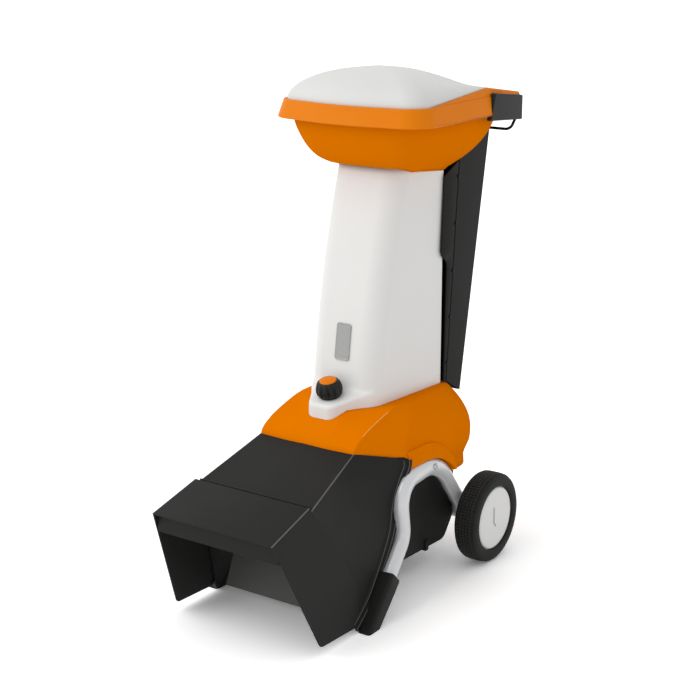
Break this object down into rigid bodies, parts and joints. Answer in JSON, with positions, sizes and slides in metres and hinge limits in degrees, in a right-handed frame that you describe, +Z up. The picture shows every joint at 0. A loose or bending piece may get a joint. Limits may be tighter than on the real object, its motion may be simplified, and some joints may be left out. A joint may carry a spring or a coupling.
{
  "type": "garden shredder",
  "caption": "Electric garden shredder on a wheeled tube frame: hopper with domed lid, tilting feed tower, cutting disc in a domed base and a wide discharge hood with a flap.",
  "frame": {"origin": "on the ground, in the middle of the footprint", "axes": "+X to the flank seen at the right, +Y rearwards away from the discharge, +Z up"},
  "size_m": [0.52, 0.97, 1.2457],
  "materials": {
    "frame_paint": "satin",
    "black_rubber": "matte",
    "steel": "satin",
    "black_plastic": "fine grain",
    "orange_plastic": "satin",
    "white_plastic": "satin",
    "aluminium": "satin",
    "laminated_core": "plain",
    "blade_steel": "ground",
    "brass": "plain",
    "hook_paint": "satin",
    "green_plastic": "gloss",
    "red_plastic": "gloss",
    "tyre_rubber": "moulded tread"
  },
  "bodies": {
    "base": {"side_frame_right": "frame_paint", "side_frame_left": "frame_paint", "foot_sleeve_right": "black_rubber", "foot_sleeve_left": "black_rubber", "wheel_axle": "steel", "axle_clips": "steel", "frame_screws": "steel", "motor_plate": "steel", "lower_shell": "black_plastic", "base_housing": "orange_plastic", "cutting_chamber": "steel", "counter_blade": "steel", "clamp_bush": "brass", "safety_switch": "black_plastic", "discharge_hood": "black_plastic", "deflector_plate": "black_plastic", "flap_hinge_rod": "steel", "tower_hinge_pin": "steel", "motor_stator": "laminated_core", "upper_end_bell": "aluminium", "lower_end_bell": "aluminium", "upper_bearing": "steel", "lower_bearing": "steel", "motor_bolts": "steel", "run_capacitor": "steel"},
    "rotor": {"motor_shaft": "steel", "rotor_core": "laminated_core", "cooling_fan": "black_plastic", "cutting_disc": "steel", "cutting_blades": "blade_steel", "blade_bolts": "steel", "disc_nut": "steel"},
    "flap": {"discharge_flap": "black_plastic"},
    "tower": {"feed_tower": "white_plastic", "rear_cover": "black_plastic", "cover_screws": "steel", "blank_plate": "aluminium", "splash_flap": "black_rubber", "hopper_bowl": "orange_plastic", "hopper_rim": "orange_plastic", "rear_handle": "black_plastic", "cable_hook": "hook_paint", "lid_hinge_rod": "steel", "switch_box": "black_plastic", "mains_inlet": "black_plastic", "inlet_pins": "brass"},
    "lid": {"hopper_lid": "white_plastic"},
    "start_button": {"start_button": "green_plastic"},
    "stop_button": {"stop_button": "red_plastic"},
    "knob": {"clamp_knob": "black_plastic", "knob_cap": "orange_plastic", "clamp_stud": "steel"},
    "wheel_right": {"tyre_right": "tyre_rubber", "wheel_disc_right": "white_plastic", "hub_cap_right": "white_plastic"},
    "wheel_left": {"tyre_left": "tyre_rubber", "wheel_disc_left": "white_plastic", "hub_cap_left": "white_plastic"}
  },
  "joints": [
    {"name": "tower_tilt", "type": "hinge", "parent": "base", "child": "tower", "pos_m": [0, 0.371, 0.445], "axis": [-1, 0, 0], "range_deg": [0, 70]},
    {"name": "lid_open", "type": "hinge", "parent": "tower", "child": "lid", "pos_m": [0, 0.363, 1.1885], "axis": [-1, 0, 0], "range_deg": [0, 100]},
    {"name": "knob_turn", "type": "hinge", "parent": "tower", "child": "knob", "pos_m": [0, -0.033, 0.4923], "axis": [0, -0.225, 0.9744], "continuous": true},
    {"name": "start_press", "type": "slide", "parent": "tower", "child": "start_button", "axis": [0, -0.9832, 0.1824], "range_m": [0, 0.004], "stiffness_N_per_m": 400},
    {"name": "stop_press", "type": "slide", "parent": "tower", "child": "stop_button", "axis": [0, -0.9832, 0.1824], "range_m": [0, 0.004], "stiffness_N_per_m": 400},
    {"name": "flap_open", "type": "hinge", "parent": "base", "child": "flap", "pos_m": [0, -0.341, 0.328], "axis": [-1, 0, 0], "range_deg": [0, 90]},
    {"name": "wheel_right_roll", "type": "hinge", "parent": "base", "child": "wheel_right", "pos_m": [0.229, 0.323, 0.115], "axis": [1, 0, 0], "continuous": true},
    {"name": "wheel_left_roll", "type": "hinge", "parent": "base", "child": "wheel_left", "pos_m": [-0.229, 0.323, 0.115], "axis": [1, 0, 0], "continuous": true},
    {"name": "rotor_spin", "type": "hinge", "parent": "base", "child": "rotor", "pos_m": [0, 0.118, 0.34], "axis": [0, 0, 1], "continuous": true}
  ]
}
